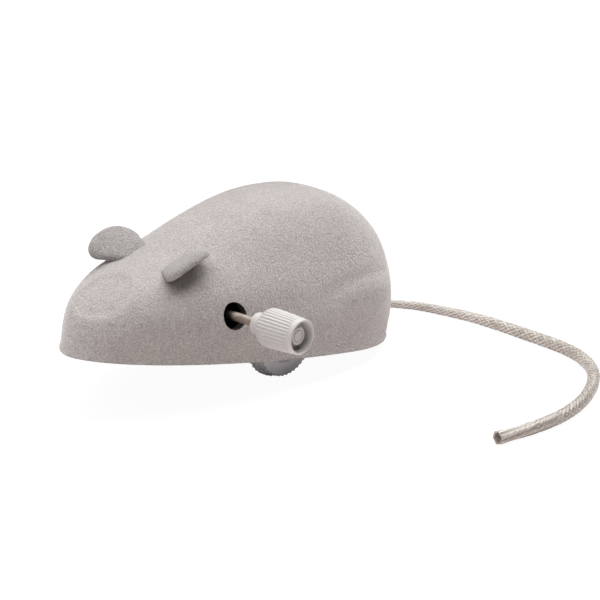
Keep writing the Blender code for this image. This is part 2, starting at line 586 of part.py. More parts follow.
def case_half(side, tag):
    split, wall_y = side * CASE_SPLIT, side * CASE_HALF_WIDTH
    lo, hi = sorted((split, wall_y))
    ob = add(f"motor_case_{tag}", prism([case_loop(0)], lo, hi), case_plastic, smooth=False)
    lo, hi = sorted((split - side * 0.5, wall_y - side * CASE_WALL))
    combine(ob, add(f"hollow_{tag}", prism([case_loop(CASE_WALL)], lo, hi), smooth=False), "DIFFERENCE")
    for k, (x, z) in enumerate(CASE_SCREWS):
        lo, hi = sorted((split, wall_y - side * 0.3))
        combine(ob, rod_cutter(f"post_{tag}_{k + 1}", 1.5, lo, hi, x, z, 16), "UNION")
    lug = (SHAFT_AXIS[0] - CASE_NOSE_RADIUS - 4.2, SHAFT_AXIS[0] - CASE_NOSE_RADIUS + 0.5)
    if side > 0:
        lug = (CASE_REAR - 0.5, CASE_REAR + 4.2)
    ylo, yhi = sorted((side * 0.6, side * 4.8))
    combine(ob, box_cutter(f"lug_{tag}", (lug[0], ylo, PLATE_TOP + 0.3), (lug[1], yhi, PLATE_TOP + 1.4)), "UNION")
    x, y = MOTOR_SCREWS[0 if side < 0 else 1]
    combine(ob, post_cutter(f"lug_hole_{tag}", PILOT_RADIUS, x, y, 1.0, 4.0, 16), "DIFFERENCE")
    lo, hi = sorted((0, side * 9))
    for k, (x, z) in enumerate(CASE_SCREWS):
        combine(ob, rod_cutter(f"screw_hole_{tag}_{k + 1}", PILOT_RADIUS, lo, hi, x, z, 16), "DIFFERENCE")
    for k, ((x, z), r) in enumerate(BEARINGS):
        combine(ob, rod_cutter(f"bearing_{tag}_{k + 1}", r + RUNNING_GAP, lo, hi, x, z, 20), "DIFFERENCE")
    return ob


case_half(-1, "left")
case_half(1, "right")

for k, (x, z) in enumerate(CASE_SCREWS):
    bm = bmesh.new()
    rod(bm, SHANK_RADIUS, -CASE_HALF_WIDTH - 0.5, CASE_HALF_WIDTH - 0.3, 14)
    ob = add(f"case_screw_{k + 1}", bm, steel, at=(x, 0, z))
    combine(ob, rod_cutter(f"case_head_{k + 1}", HEAD_RADIUS - 0.2, -CASE_HALF_WIDTH - 1.1, -CASE_HALF_WIDTH - 0.3,
                           x, z, 20), "UNION")

# ---------------------------------------------------------------- where the toy stands
def world_box(names_out):
    dg = bpy.context.evaluated_depsgraph_get()
    lo, hi = Vector((1e9,) * 3), Vector((-1e9,) * 3)
    for ob in PARTS.objects:
        if ob.type != "MESH" or ob.name in names_out:
            continue
        ev = ob.evaluated_get(dg)
        me = ev.to_mesh()
        for v in me.vertices:
            p = ev.matrix_world @ v.co
            lo = Vector(map(min, lo, p))
            hi = Vector(map(max, hi, p))
        ev.to_mesh_clear()
    return lo, hi


bpy.context.view_layer.update()
lo, hi = world_box(())
ROOT.location = (-(lo.x + hi.x) / 2, -(lo.y + hi.y) / 2, -lo.z)
bpy.context.view_layer.update()

# ---------------------------------------------------------------- tail
cord = material("tail_cord", (0.62, 0.57, 0.50), 0.35)
to_world = ROOT.matrix_world
hole = to_world @ (Vector((BODY_HALF_LENGTH, 0, TAIL_HEIGHT)) * MM)
back = (to_world.to_3x3() @ Vector((1, 0, 0))).normalized()
floor_z = (TAIL_RADIUS + 0.05) * MM
# the route on the floor, in millimetres from the tail hole: rearward, then round to the knob's side and forward
ROUTE = ((7.0, -2.6), (9.4, -8.0), (10.6, -14.0), (11.2, -20.0), (11.0, -26.0), (10.4, -32.2), (9.8, -38.4),
         (9.0, -43.2), (7.4, -47.6), (4.6, -51.8), (0.8, -55.2), (-5.0, -58.4), (-11.2, -60.6), (-17.6, -61.6),
         (-23.4, -61.4), (-28.2, -60.6), (-33.0, -59.4))
knots = [hole - back * 2.4 * MM, hole + back * 0.6 * MM,
         Vector((hole.x + 3.6 * MM, hole.y - 0.5 * MM, (hole.z + floor_z) / 2))]
knots += [Vector((hole.x + dx * MM, hole.y + dy * MM, floor_z)) for dx, dy in ROUTE]


def smooth_line(points, spacing):
    """Centripetal Catmull-Rom through the points, resampled evenly."""
    pts = [points[0] * 2 - points[1]] + points + [points[-1] * 2 - points[-2]]
    dense = []
    for p0, p1, p2, p3 in zip(pts, pts[1:], pts[2:], pts[3:]):
        t1 = (p1 - p0).length ** 0.5
        t2 = t1 + (p2 - p1).length ** 0.5
        t3 = t2 + (p3 - p2).length ** 0.5
        for k in range(12):
            t = t1 + (t2 - t1) * k / 12
            a1 = p0 * ((t1 - t) / t1) + p1 * (t / t1)
            a2 = p1 * ((t2 - t) / (t2 - t1)) + p2 * ((t - t1) / (t2 - t1))
            a3 = p2 * ((t3 - t) / (t3 - t2)) + p3 * ((t - t2) / (t3 - t2))
            b1 = a1 * ((t2 - t) / t2) + a2 * (t / t2)
            b2 = a2 * ((t3 - t) / (t3 - t1)) + a3 * ((t - t1) / (t3 - t1))
            dense.append(b1 * ((t2 - t) / (t2 - t1)) + b2 * ((t - t1) / (t2 - t1)))
    dense.append(points[-1])
    run = [0.0]
    for a, b in zip(dense, dense[1:]):
        run.append(run[-1] + (b - a).length)
    count = max(int(run[-1] / spacing), 2)
    out, j = [], 0
    for k in range(count + 1):
        want = run[-1] * k / count
        while j < len(run) - 2 and run[j + 1] < want:
            j += 1
        t = (want - run[j]) / max(run[j + 1] - run[j], 1e-12)
        out.append(dense[j].lerp(dense[j + 1], t))
    return out


line = smooth_line(knots, 2.4 * MM)
line = [Vector((p.x, p.y, max(p.z, floor_z))) for p in line]
cu = bpy.data.curves.new("tail", "CURVE")
cu.dimensions = "3D"
cu.bevel_depth = TAIL_RADIUS * MM
cu.bevel_resolution = 2
cu.use_fill_caps = True
sp = cu.splines.new("POLY")
sp.points.add(len(line) - 1)
for p, co in zip(sp.points, line):
    p.co = (*(co - line[0]), 1)
tail = bpy.data.objects.new("tail", cu)
tail.location = line[0]
cu.materials.append(cord)
PARTS.objects.link(tail)

bm = bmesh.new()
bmesh.ops.create_uvsphere(bm, u_segments=16, v_segments=10, radius=1.0, matrix=Matrix.Diagonal((1.7, 1.9, 1.7, 1)))
bmesh.ops.scale(bm, vec=(MM, MM, MM), verts=bm.verts)
me = bpy.data.meshes.new("tail_knot")
bm.to_mesh(me)
bm.free()
knot = bpy.data.objects.new("tail_knot", me)
knot.location = line[0] - back * 2.0 * MM
me.materials.append(cord)
for p in me.polygons:
    p.use_smooth = True
PARTS.objects.link(knot)
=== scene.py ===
import math

import bmesh
import bpy
import numpy as np
from mathutils import Matrix, Vector, noise


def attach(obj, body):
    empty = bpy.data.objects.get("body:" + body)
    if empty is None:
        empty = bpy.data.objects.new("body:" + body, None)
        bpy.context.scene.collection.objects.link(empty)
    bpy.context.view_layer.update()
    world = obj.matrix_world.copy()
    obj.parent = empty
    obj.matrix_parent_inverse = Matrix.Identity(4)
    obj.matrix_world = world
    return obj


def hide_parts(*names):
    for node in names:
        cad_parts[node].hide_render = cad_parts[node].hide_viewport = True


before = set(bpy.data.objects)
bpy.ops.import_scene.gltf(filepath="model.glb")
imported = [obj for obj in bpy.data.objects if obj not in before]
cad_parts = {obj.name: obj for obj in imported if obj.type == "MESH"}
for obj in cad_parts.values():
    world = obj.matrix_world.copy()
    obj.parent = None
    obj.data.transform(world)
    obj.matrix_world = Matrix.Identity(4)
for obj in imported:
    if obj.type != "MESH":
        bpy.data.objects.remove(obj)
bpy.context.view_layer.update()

MM = 0.001
PITCH = 0.1622953175885729
# the mouse's own frame (millimetres, rim on z = 0, nose to -X) in the row frame
PLACE = Matrix.Translation((-0.000388628, 0.005559066, 0.006058823)) @ Matrix.Rotation(PITCH, 4, "Y") \
    @ Matrix.Scale(MM, 4)


def at(x, y, z):
    return PLACE @ Vector((x, y, z))


scene = bpy.context.scene
scene.view_settings.view_transform = "Standard"


# ------------------------------------------------------------------ camera, floor, light
AIM = at(0, 0, 15)
BACK = Vector((-0.6982, -0.6396, 0.3215)).normalized()
RIGHT = Vector((0.6755, -0.7374, 0.0)).normalized()
UP = BACK.cross(RIGHT)
CAMERA_DISTANCE = 0.48
SCALE = 9.35                               # frame widths that one metre spans at the aim's distance
AIM_X, AIM_Y = -0.1211667, 0.0786667       # where the aim sits, as shares of the frame from its centre
SENSOR = 36.0

cam_data = bpy.data.cameras.new("camera")
cam = bpy.data.objects.new("camera", cam_data)
scene.collection.objects.link(cam)
scene.camera = cam
cam_data.sensor_width = SENSOR
cam_data.lens = SCALE * SENSOR * CAMERA_DISTANCE
cam_data.clip_start, cam_data.clip_end = 0.01, 10
cam.location = AIM + BACK * CAMERA_DISTANCE
target = AIM - RIGHT * (AIM_X / SCALE) - UP * (AIM_Y / SCALE)
back = (cam.location - target).normalized()
right = (RIGHT - back * RIGHT.dot(back)).normalized()
up = back.cross(right)
cam.rotation_mode = "QUATERNION"
cam.rotation_quaternion = Matrix((right, up, back)).transposed().to_quaternion()


def nodes_of(mat):
    """The node tree of a material, emptied but for a Principled shader, and that shader."""
    mat.use_nodes = True
    t = mat.node_tree
    t.nodes.clear()
    out = t.nodes.new("ShaderNodeOutputMaterial")
    b = t.nodes.new("ShaderNodeBsdfPrincipled")
    t.links.new(b.outputs[0], out.inputs["Surface"])
    return t, b


def node(t, kind, **values):
    """A shader node with its sockets or settings given by name."""
    n = t.nodes.new("ShaderNode" + kind)
    for k, v in values.items():
        if k in n.inputs.keys():
            n.inputs[k].default_value = v
        else:
            setattr(n, k, v)
    return n


def link(t, a, b):
    t.links.new(a, b)


def ramp(t, source, stops):
    r = t.nodes.new("ShaderNodeValToRGB")
    while len(r.color_ramp.elements) < len(stops):
        r.color_ramp.elements.new(0.5)
    for e, (pos, col) in zip(r.color_ramp.elements, stops):
        e.position = pos
        e.color = (*col, 1) if len(col) == 3 else col
    t.links.new(source, r.inputs[0])
    return r.outputs[0]


def mix(t, factor, a, b, blend="MIX"):
    m = t.nodes.new("ShaderNodeMix")
    m.data_type = "RGBA"
    m.blend_type = blend
    for socket, v in ((m.inputs[0], factor), (m.inputs[6], a), (m.inputs[7], b)):
        if hasattr(v, "is_linked"):
            t.links.new(v, socket)
        elif isinstance(v, (int, float)):
            socket.default_value = v
        else:
            socket.default_value = (*v, 1) if len(v) == 3 else v
    return m.outputs[2]


def sums(t, op, *terms):
    """A math node; each term is a socket or a number."""
    m = t.nodes.new("ShaderNodeMath")
    m.operation = op
    for s, v in zip(m.inputs, terms):
        if hasattr(v, "is_linked"):
            t.links.new(v, s)
        else:
            s.default_value = v
    return m.outputs[0]


def bump(t, b, height, distance, strength=1.0):
    n = t.nodes.new("ShaderNodeBump")
    n.inputs["Distance"].default_value = distance
    n.inputs["Strength"].default_value = strength
    t.links.new(height, n.inputs["Height"])
    t.links.new(n.outputs[0], b.inputs["Normal"])


def object_coords(t):
    return t.nodes.new("ShaderNodeTexCoord").outputs["Object"]


def flock(name, base, shade, sheen):
    """Short dense nylon fibre: fine grain, pale fibre tips, soft patches and a pale sheen."""
    mat = bpy.data.materials.new(name)
    t, b = nodes_of(mat)
    co = object_coords(t)
    fine = node(t, "TexNoise", Scale=3600.0, Detail=2.0, Roughness=0.75)
    tips = node(t, "TexVoronoi", Scale=2700.0, Randomness=1.0)
    soft = node(t, "TexNoise", Scale=420.0, Detail=3.0, Roughness=0.6)
    broad = node(t, "TexNoise", Scale=75.0, Detail=2.0, Roughness=0.5)
    for n in (fine, tips, soft, broad):
        link(t, co, n.inputs["Vector"])
    col = ramp(t, fine.outputs["Fac"], [(0.32, shade), (0.68, base)])
    bright = ramp(t, tips.outputs["Distance"], [(0.10, (1.24, 1.23, 1.22)), (0.34, (1.0, 1.0, 1.0)),
                                                (0.85, (0.87, 0.87, 0.88))])
    col = mix(t, 1.0, col, bright, "MULTIPLY")
    patch = ramp(t, soft.outputs["Fac"], [(0.3, (0.955, 0.955, 0.96)), (0.7, (1.04, 1.04, 1.035))])
    col = mix(t, 1.0, col, patch, "MULTIPLY")
    wide = ramp(t, broad.outputs["Fac"], [(0.35, (0.965, 0.963, 0.965)), (0.65, (1.025, 1.025, 1.02))])
    col = mix(t, 1.0, col, wide, "MULTIPLY")
    link(t, col, b.inputs["Base Color"])
    b.inputs["Roughness"].default_value = 1.0
    b.inputs["Specular IOR Level"].default_value = 0.12
    b.inputs["Sheen Weight"].default_value = sheen
    b.inputs["Sheen Roughness"].default_value = 0.38
    b.inputs["Sheen Tint"].default_value = (1.0, 0.985, 0.97, 1)
    h = sums(t, "ADD", fine.outputs["Fac"], sums(t, "MULTIPLY", tips.outputs["Distance"], -0.7))
    bump(t, b, h, 0.00022, 0.7)
    return mat


PLASTIC_GRAIN, METAL_GRAIN = 900.0, 500.0   # noise cells per metre


def plastic(name, base, rough, grain, spec=0.5, relief=0.00002, sub=0.0):
    """Moulded plastic: slight unevenness of colour and gloss, and fine surface texture."""
    mat = bpy.data.materials.new(name)
    t, b = nodes_of(mat)
    co = object_coords(t)
    n1 = node(t, "TexNoise", Scale=PLASTIC_GRAIN, Detail=4.0, Roughness=0.6)
    n2 = node(t, "TexNoise", Scale=PLASTIC_GRAIN * 0.12, Detail=3.0, Roughness=0.55)
    link(t, co, n1.inputs["Vector"])
    link(t, co, n2.inputs["Vector"])
    dark = tuple(c * (1 - grain) for c in base)
    lift = tuple(min(c * (1 + grain), 1) for c in base)
    col = ramp(t, n2.outputs["Fac"], [(0.35, dark), (0.65, lift)])
    link(t, col, b.inputs["Base Color"])
    r = ramp(t, n1.outputs["Fac"], [(0.3, (rough * 0.85,) * 3), (0.7, (min(rough * 1.15, 1),) * 3)])
    link(t, r, b.inputs["Roughness"])
    b.inputs["Specular IOR Level"].default_value = spec
    if sub:
        b.inputs["Subsurface Weight"].default_value = sub
        b.inputs["Subsurface Radius"].default_value = (0.0012, 0.0010, 0.0008)
        b.inputs["Subsurface Scale"].default_value = 0.5
    bump(t, b, n1.outputs["Fac"], relief, 0.5)
    return mat


def metal(name, base, rough):
    """Bare metal with faint mottling of colour and gloss."""
    mat = bpy.data.materials.new(name)
    t, b = nodes_of(mat)
    co = object_coords(t)
    n1 = node(t, "TexNoise", Scale=METAL_GRAIN, Detail=4.0, Roughness=0.65)
    link(t, co, n1.inputs["Vector"])
    col = ramp(t, n1.outputs["Fac"], [(0.3, tuple(c * 0.8 for c in base)), (0.7, base)])
    link(t, col, b.inputs["Base Color"])
    r = ramp(t, n1.outputs["Fac"], [(0.3, (rough * 0.7,) * 3), (0.7, (rough * 1.3,) * 3)])
    link(t, r, b.inputs["Roughness"])
    b.inputs["Metallic"].default_value = 1.0
    bump(t, b, n1.outputs["Fac"], 0.00002, 0.4)
    return mat


FLOCK = flock("flock_body", (0.485, 0.452, 0.438), (0.305, 0.279, 0.268), 0.7)
EAR = flock("flock_ear", (0.40, 0.376, 0.365), (0.235, 0.218, 0.21), 0.45)
KNOB = plastic("knob_ivory", (0.50, 0.482, 0.468), 0.42, grain=0.02, sub=0.15)
WHEEL = plastic("wheel_grey", (0.60, 0.60, 0.615), 0.6, grain=0.06)
TYRE = plastic("tyre_grey", (0.56, 0.56, 0.575), 0.75, grain=0.08, spec=0.3, relief=0.00004)
INSIDE = plastic("shell_inside", (0.035, 0.031, 0.029), 0.6, grain=0.2, spec=0.25)
CASE = plastic("case_black", (0.02, 0.02, 0.021), 0.42, grain=0.15)
PLATE = plastic("plate_grey", (0.13, 0.13, 0.135), 0.55, grain=0.1)
NYLON = plastic("gear_nylon", (0.78, 0.76, 0.68), 0.4, grain=0.03, sub=0.1)
STEEL = metal("steel", (0.56, 0.55, 0.53), 0.28)
SHAFT = metal("shaft_metal", (0.44, 0.375, 0.32), 0.42)
BRASS = metal("brass", (0.62, 0.46, 0.20), 0.3)
SPRING = metal("spring_steel", (0.30, 0.33, 0.38), 0.3)

# floor and studio
bm = bmesh.new()
bmesh.ops.create_grid(bm, x_segments=1, y_segments=1, size=3.0)
me = bpy.data.meshes.new("floor")
bm.to_mesh(me)
bm.free()
floor = bpy.data.objects.new("floor", me)
floor.location = (0, 0, -0.00002)
scene.collection.objects.link(floor)
mat = bpy.data.materials.new("floor_white")
t, b = nodes_of(mat)
b.inputs["Base Color"].default_value = (0.92, 0.855, 0.85, 1)
b.inputs["Roughness"].default_value = 0.9
b.inputs["Specular IOR Level"].default_value = 0.1
# the camera sees the floor as a lit paper sweep, with only a trace of shadow
glow = t.nodes.new("ShaderNodeEmission")
glow.inputs[1].default_value = 1.05
seen = t.nodes.new("ShaderNodeLightPath")
share = sums(t, "MULTIPLY", seen.outputs["Is Camera Ray"], 0.91)
both = t.nodes.new("ShaderNodeMixShader")
link(t, share, both.inputs[0])
link(t, b.outputs[0], both.inputs[1])
link(t, glow.outputs[0], both.inputs[2])
link(t, both.outputs[0], t.nodes["Material Output"].inputs["Surface"])
me.materials.append(mat)

world = bpy.data.worlds.new("studio")
scene.world = world
world.use_nodes = True
wt = world.node_tree
bg = wt.nodes["Background"]
bg.inputs[0].default_value = (1.0, 1.0, 1.0, 1)
path = wt.nodes.new("ShaderNodeLightPath")
strength = wt.nodes.new("ShaderNodeMapRange")
strength.inputs["To Min"].default_value = 0.05
strength.inputs["To Max"].default_value = 1.0
wt.links.new(path.outputs["Is Camera Ray"], strength.inputs["Value"])
wt.links.new(strength.outputs[0], bg.inputs[1])


LAMP_SIZE, LAMP_AIM = 0.45, Vector((0, 0.006, 0.015))


def lamp(name, where, power):
    d = bpy.data.lights.new(name, "AREA")
    d.shape = "SQUARE"
    d.size = LAMP_SIZE
    d.energy = power
    o = bpy.data.objects.new(name, d)
    o.location = where
    o.rotation_mode = "QUATERNION"
    o.rotation_quaternion = (LAMP_AIM - Vector(where)).to_track_quat("-Z", "Y")
    scene.collection.objects.link(o)


LAMPS = (("softbox_top", (0, 0, 0.6), 2.15), ("softbox_back", (0.1, 0.3, 0.5), 1.0),
         ("softbox_left", (-0.35, 0.05, 0.5), 1.9), ("softbox_right", (0.35, 0.02, 0.5), 3.35))
for name, where, power in LAMPS:
    lamp(name, where, power)


# ------------------------------------------------------------------ mesh helpers
def mesh_object(name, verts, faces, mat):
    me = bpy.data.meshes.new(name)
    me.from_pydata([tuple(v) for v in verts], [], faces)
    me.materials.append(mat)
    me.update()
    me.shade_smooth()
    ob = bpy.data.objects.new(name, me)
    scene.collection.objects.link(ob)
    return ob


def baked(ob):
    """Replaces an object's mesh with its evaluated one, modifiers applied."""
    me = bpy.data.meshes.new_from_object(ob.evaluated_get(bpy.context.evaluated_depsgraph_get()))
    ob.modifiers.clear()
    ob.data = me
    return ob


def grid_faces(rows, columns, first=0):
    """Quads of a tube of rows of columns vertices, closed round the columns."""
    return [(first + r * columns + c, first + r * columns + (c + 1) % columns,
             first + (r + 1) * columns + (c + 1) % columns, first + (r + 1) * columns + c)
            for r in range(rows - 1) for c in range(columns)]


def ease(t):
    """Smooth step from 0 to 1."""
    t = min(max(t, 0.0), 1.0)
    return t * t * (3 - 2 * t)


# ------------------------------------------------------------------ tail cord
TAIL_RADIUS, TAIL_HEIGHT, BODY_HALF_LENGTH = 1.15, 3.9, 37.5
hole = at(BODY_HALF_LENGTH, 0, TAIL_HEIGHT)
backward = (at(1, 0, 0) - at(0, 0, 0)).normalized()
floor_z = (TAIL_RADIUS + 0.05) * MM
# the route on the floor, in millimetres from the tail hole, the same points as in part.py
ROUTE = ((7.0, -2.6), (9.4, -8.0), (10.6, -14.0), (11.2, -20.0), (11.0, -26.0), (10.4, -32.2), (9.8, -38.4),
         (9.0, -43.2), (7.4, -47.6), (4.6, -51.8), (0.8, -55.2), (-5.0, -58.4), (-11.2, -60.6), (-17.6, -61.6),
         (-23.4, -61.4), (-28.2, -60.6), (-33.0, -59.4))
knots = [hole - backward * 2.4 * MM, hole + backward * 0.6 * MM,
         Vector((hole.x + 3.6 * MM, hole.y - 0.5 * MM, (hole.z + floor_z) / 2))]
knots += [Vector((hole.x + dx * MM, hole.y + dy * MM, floor_z)) for dx, dy in ROUTE]


def smooth_line(points, spacing):
    """Centripetal Catmull-Rom through the points, resampled evenly."""
    pts = [points[0] * 2 - points[1]] + points + [points[-1] * 2 - points[-2]]
    dense = []
    for p0, p1, p2, p3 in zip(pts, pts[1:], pts[2:], pts[3:]):
        t1 = (p1 - p0).length ** 0.5
        t2 = t1 + (p2 - p1).length ** 0.5
        t3 = t2 + (p3 - p2).length ** 0.5
        for k in range(12):
            t = t1 + (t2 - t1) * k / 12
            a1 = p0 * ((t1 - t) / t1) + p1 * (t / t1)
            a2 = p1 * ((t2 - t) / (t2 - t1)) + p2 * ((t - t1) / (t2 - t1))
            a3 = p2 * ((t3 - t) / (t3 - t2)) + p3 * ((t - t2) / (t3 - t2))
            b1 = a1 * ((t2 - t) / t2) + a2 * (t / t2)
            b2 = a2 * ((t3 - t) / (t3 - t1)) + a3 * ((t - t1) / (t3 - t1))
            dense.append(b1 * ((t2 - t) / (t2 - t1)) + b2 * ((t - t1) / (t2 - t1)))
    dense.append(points[-1])
    run = [0.0]
    for a, b in zip(dense, dense[1:]):
        run.append(run[-1] + (b - a).length)
    count = max(int(run[-1] / spacing), 2)
    out, j = [], 0
    for k in range(count + 1):
        want = run[-1] * k / count
        while j < len(run) - 2 and run[j + 1] < want:
            j += 1
        t = (want - run[j]) / max(run[j + 1] - run[j], 1e-12)
        out.append(dense[j].lerp(dense[j + 1], t))
    return out


def cord_material():
    """Satin braided cord: fine fibres, pale crowns with brown grey painted shade between them and in the cut
    end's hollow, a painted highlight near the root; darker past the bend.
    """
    mat = bpy.data.materials.new("tail_satin_cord")
    t, b = nodes_of(mat)
    uv = t.nodes.new("ShaderNodeAttribute")
    uv.attribute_name = "braid"                      # crown height, millimetres along, share of a turn round
    sep = t.nodes.new("ShaderNodeSeparateXYZ")
    link(t, uv.outputs["Vector"], sep.inputs[0])
    # fibres: noise drawn out along the cord and leaning with the strands
    lean = sums(t, "MULTIPLY", sep.outputs[1], 1 / BRAID_PITCH)
    turn = sums(t, "MULTIPLY", sums(t, "ADD", sep.outputs[2], lean), math.tau)
    where = t.nodes.new("ShaderNodeCombineXYZ")
    link(t, sums(t, "MULTIPLY", sums(t, "COSINE", turn), 1.15), where.inputs[0])
    link(t, sums(t, "MULTIPLY", sums(t, "SINE", turn), 1.15), where.inputs[1])
    link(t, sums(t, "MULTIPLY", sep.outputs[1], 0.22), where.inputs[2])
    fibres = node(t, "TexNoise", Scale=4.2, Detail=4.0, Roughness=0.7)
    link(t, where.outputs[0], fibres.inputs["Vector"])
    co = object_coords(t)
    patches = node(t, "TexNoise", Scale=200.0, Detail=2.0, Roughness=0.5)
    link(t, co, patches.inputs["Vector"])
    # painted shade: the colour darkens with crown height, from the strands' crowns down into the grooves
    # between them and into the cut end's hollow
    crown = ramp(t, sep.outputs[0], [(0.0, (0.175, 0.15, 0.13)), (0.3, (0.36, 0.33, 0.305)),
                                     (0.95, (0.60, 0.575, 0.555))])
    streak = ramp(t, fibres.outputs["Fac"], [(0.36, (0.58, 0.56, 0.54)), (0.5, (0.98, 0.97, 0.96)),
                                             (0.64, (1.22, 1.22, 1.22))])
    col = mix(t, 1.0, crown, streak, "MULTIPLY")
    tint = ramp(t, patches.outputs["Fac"], [(0.35, (0.92, 0.90, 0.875)), (0.65, (1.05, 1.05, 1.05))])
    col = mix(t, 1.0, col, tint, "MULTIPLY")
    # painted highlight: the colour is lighter near the root, darker along the middle and plain again at the
    # cut end
    along = sums(t, "MULTIPLY", sep.outputs[1], 0.01)
    root_highlight_tone = ramp(t, along, [(0.06, (1.18, 1.18, 1.18)), (0.30, (1.03, 1.02, 1.0)), (0.55, (0.86, 0.84, 0.81)),
                           (0.84, (0.86, 0.84, 0.81)), (1.0, (1.0, 0.98, 0.95))])
    col = mix(t, 1.0, col, root_highlight_tone, "MULTIPLY")
    link(t, col, b.inputs["Base Color"])
    r = ramp(t, fibres.outputs["Fac"], [(0.3, (0.30,) * 3), (0.7, (0.48,) * 3)])
    link(t, r, b.inputs["Roughness"])
    b.inputs["Specular IOR Level"].default_value = 0.8
    b.inputs["Sheen Weight"].default_value = 0.2
    b.inputs["Sheen Roughness"].default_value = 0.3
    bump(t, b, fibres.outputs["Fac"], 0.0001, 0.6)
    return mat


STRANDS = 9                                # strands that wind each way round the cord
BRAID_PITCH = 11.0                         # millimetres along the cord for one turn of a strand
CORD_SIDES, CORD_STEP = 66, 0.00014


def cord_radius(s, total):
    """The cord is squeezed where it enters the hole, and its cut end spreads a little; millimetres."""
    root = 0.74 + 0.41 * ease((s - 4.0) / 44.0)
    return root * (1 + 0.10 * ease((s - (total - 4.0)) / 4.0))


def make_tail():
    line = smooth_line(knots, CORD_STEP)
    total = (len(line) - 1) * (line[1] - line[0]).length / MM
    side = Vector((0, 0, 1)).cross((line[1] - line[0]).normalized()).normalized()
    verts, shade = [], []
    for k, p in enumerate(line):
        ahead = (line[min(k + 1, len(line) - 1)] - line[max(k - 1, 0)]).normalized()
        side = (side - ahead * side.dot(ahead)).normalized()
        over = ahead.cross(side)
        s = total * k / (len(line) - 1)
        radius = cord_radius(s, total)
        p = p - Vector((0, 0, (TAIL_RADIUS - min(radius, TAIL_RADIUS)) * MM * ease((s - 4.0) / 8.0)))
        # near the cut end the braid opens into straight strands
        loose = ease((s - (total - 14.0)) / 12.0)
        tight = 1 - ease((s - 3.0) / 9.0)
        turn = s / BRAID_PITCH
        for c in range(CORD_SIDES):
            a = c / CORD_SIDES
            left = math.cos(math.pi * (STRANDS * (a + turn * (1 - 0.75 * loose)))) ** 2
            rightw = math.cos(math.pi * (STRANDS * (a - turn * (1 - 0.75 * loose)))) ** 2
            check = math.sin(math.tau * STRANDS * a * 0.5) * math.sin(math.tau * STRANDS * turn * 0.5)
            over_left = 0.66 + 0.34 * math.tanh(2 * check)
            h = left * over_left + rightw * (1 - over_left)
            straight = (0.5 + 0.5 * math.cos(math.tau * (6 * a + s / 16))) ** 0.7
            straight = 0.72 * straight + 0.28 * (0.5 + 0.5 * math.cos(math.tau * 22 * (a + s / 90)))
            h = h * (1 - loose) + straight * loose
            h = h * (1 - 0.6 * tight) + 0.5 * 0.6 * tight
            spot = Vector((math.cos(math.tau * a), math.sin(math.tau * a), s * 0.35))
            wobble = 0.03 * noise.noise(spot * 1.3)
            r = radius * (1 + wobble) - (0.07 + 0.16 * loose) * (1 - h)
            push = side * math.cos(math.tau * a) + over * math.sin(math.tau * a)
            verts.append(p + push * r * MM)
            shade.append((h, s, a))
    rows = len(line)
    faces = grid_faces(rows, CORD_SIDES)
    # the cut end: a ragged rim, then a hollow where the core has drawn back
    tip, along = line[-1], (line[-1] - line[-2]).normalized()
    last = [verts[(rows - 1) * CORD_SIDES + c] for c in range(CORD_SIDES)]
    # painted shade: each ring's third value darkens the cord's colour deeper into the hollow, down to black at
    # its centre
    hollow = ((0.12, 0.90, 0.55), (-0.25, 0.74, 0.12), (-0.75, 0.60, 0.02), (-0.85, 0.25, 0.0))
    for depth, share, dark in hollow:
        for c in range(CORD_SIDES):
            rag = 0.16 * noise.noise(Vector((c * 0.9, 3.1, total))) if depth > 0 else 0.0
            verts.append(tip + (last[c] - tip) * share + along * (depth + rag) * MM)
            shade.append((dark, total, c / CORD_SIDES))
    faces += grid_faces(5, CORD_SIDES, (rows - 1) * CORD_SIDES)
    verts.append(tip - along * 0.85 * MM)
    shade.append((0.0, 0.0, 0.0))
    end_ring = (rows + 3) * CORD_SIDES
    faces += [(end_ring + c, end_ring + (c + 1) % CORD_SIDES, len(verts) - 1) for c in range(CORD_SIDES)]
    verts.append(line[0])
    shade.append((0.0, 0.0, 0.0))
    faces += [((c + 1) % CORD_SIDES, c, len(verts) - 1) for c in range(CORD_SIDES)]
    ob = mesh_object("tail_cord", verts, faces, cord_material())
    crown = ob.data.attributes.new("braid", "FLOAT_VECTOR", "POINT")
    crown.data.foreach_set("vector", [v for values in shade for v in values])
    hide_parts("tail")
    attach(ob, "body")
    return ob


tail = make_tail()


# ------------------------------------------------------------------ body, to the CAD shell's own table
BODY_HEIGHT = 26.6
LEVELS_DEG = (0, 12, 25, 40, 55, 72, 90)
FRONT_X = (-37.5, -35.6, -29.6, -17.6, -8.5, 1.2, 14.0)
REAR_X = (37.5, 37.2, 36.3, 34.3, 29.8, 22.8, 14.0)
HALF_WIDTH = (19.5, 18.9, 17.2, 14.1, 10.9, 6.8, 0.0)
WIDEST_X = (14.8, 15.6, 16.6, 18.0, 17.6, 16.0, 14.0)
NOSE_POWER = (1.78, 2.1, 2.45, 2.4, 2.25, 2.1, 2.0)
RUMP_POWER = (2.0, 2.1, 2.2, 2.3, 2.35, 2.3, 2.0)
HAUNCH = (25.0, 10.0, 9.0, 8.0, 0.9)
WALL = 1.3
SHAFT_AXIS, SHAFT_HOLE_RADIUS, TAIL_HOLE_RADIUS = (-13.9, 8.4), 2.35, 1.5
SNOUT_SPOT, SNOUT_SPOT_RADIUS, SNOUT_SPOT_TILT_DEG = Vector((-30.4, 0.0, 9.9)), 5.2, 43.0


